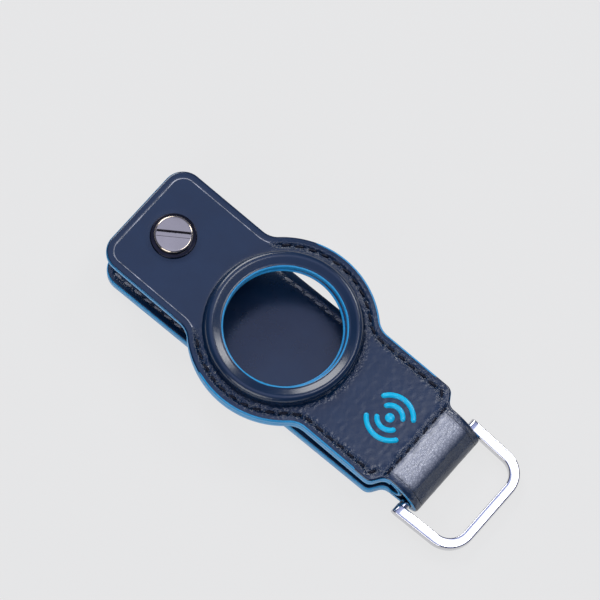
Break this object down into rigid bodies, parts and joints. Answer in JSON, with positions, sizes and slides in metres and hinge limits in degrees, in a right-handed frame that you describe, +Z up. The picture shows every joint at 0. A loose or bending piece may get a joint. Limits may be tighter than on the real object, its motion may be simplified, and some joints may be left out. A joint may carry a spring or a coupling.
{
  "type": "tracker tag holder",
  "caption": "Folded leather strap holder for a round tracker tag: hinged flap with a moulded round window, captive screw closing the tab, flat metal ring held in the fold.",
  "frame": {"origin": "on the surface the back strap lies on, under the window's centre when the flap is closed", "axes": "+X along the strap towards the ring, +Y across the strap, +Z up"},
  "size_m": [0.1018, 0.042, 0.0163],
  "materials": {
    "navy_leather": "smooth polished calf leather",
    "edge_paint": "bright blue edge paint",
    "thread": "waxed dark thread",
    "board": "stiff bonded board",
    "core": "moulded former",
    "emblem": "glossy, raised",
    "steel": "turned",
    "dark_metal": "polished dark nickel",
    "screw_metal": "polished",
    "chrome": "polished"
  },
  "bodies": {
    "back": {"back_leather": "navy_leather", "back_board": "board", "back_lining": "navy_leather", "back_edge_paint": "edge_paint", "back_stitching": "thread", "screw_barrel": "steel", "fold_leather": "navy_leather", "fold_lining": "navy_leather", "fold_edge_paint": "edge_paint"},
    "flap": {"flap_leather": "navy_leather", "flap_backing": "navy_leather", "flap_edge_paint": "edge_paint", "rim_core": "core", "rim_lining": "navy_leather", "window_edge_paint": "edge_paint", "flap_stitching": "thread", "shoulder_stitching": "thread", "emblem": "emblem", "tab_eyelet": "steel"},
    "screw_washer": {"screw_washer": "dark_metal"},
    "screw": {"screw": "screw_metal"},
    "ring": {"ring": "chrome"}
  },
  "joints": [
    {"name": "flap_hinge", "type": "hinge", "parent": "back", "child": "flap", "pos_m": [0.04433, 0, 0.003], "axis": [0, 1, 0], "range_deg": [-3.8, 90], "stiffness_Nm_per_rad": 0.08, "springref_deg": 2.17, "deforming": ["fold_leather", "fold_lining", "fold_edge_paint"]},
    {"name": "ring_swing", "type": "hinge", "parent": "back", "child": "ring", "pos_m": [0.04433, 0, 0.003], "axis": [0, -1, 0], "range_deg": [-120, 35]},
    {"name": "screw_lift", "type": "slide", "parent": "flap", "child": "screw_washer", "axis": [0.0663, 0, 0.9978], "range_m": [0, 0.002]},
    {"name": "screw_turn", "type": "hinge", "parent": "screw_washer", "child": "screw", "pos_m": [-0.03109, 0, 0.01472], "axis": [0.0663, 0, 0.9978], "continuous": true}
  ]
}
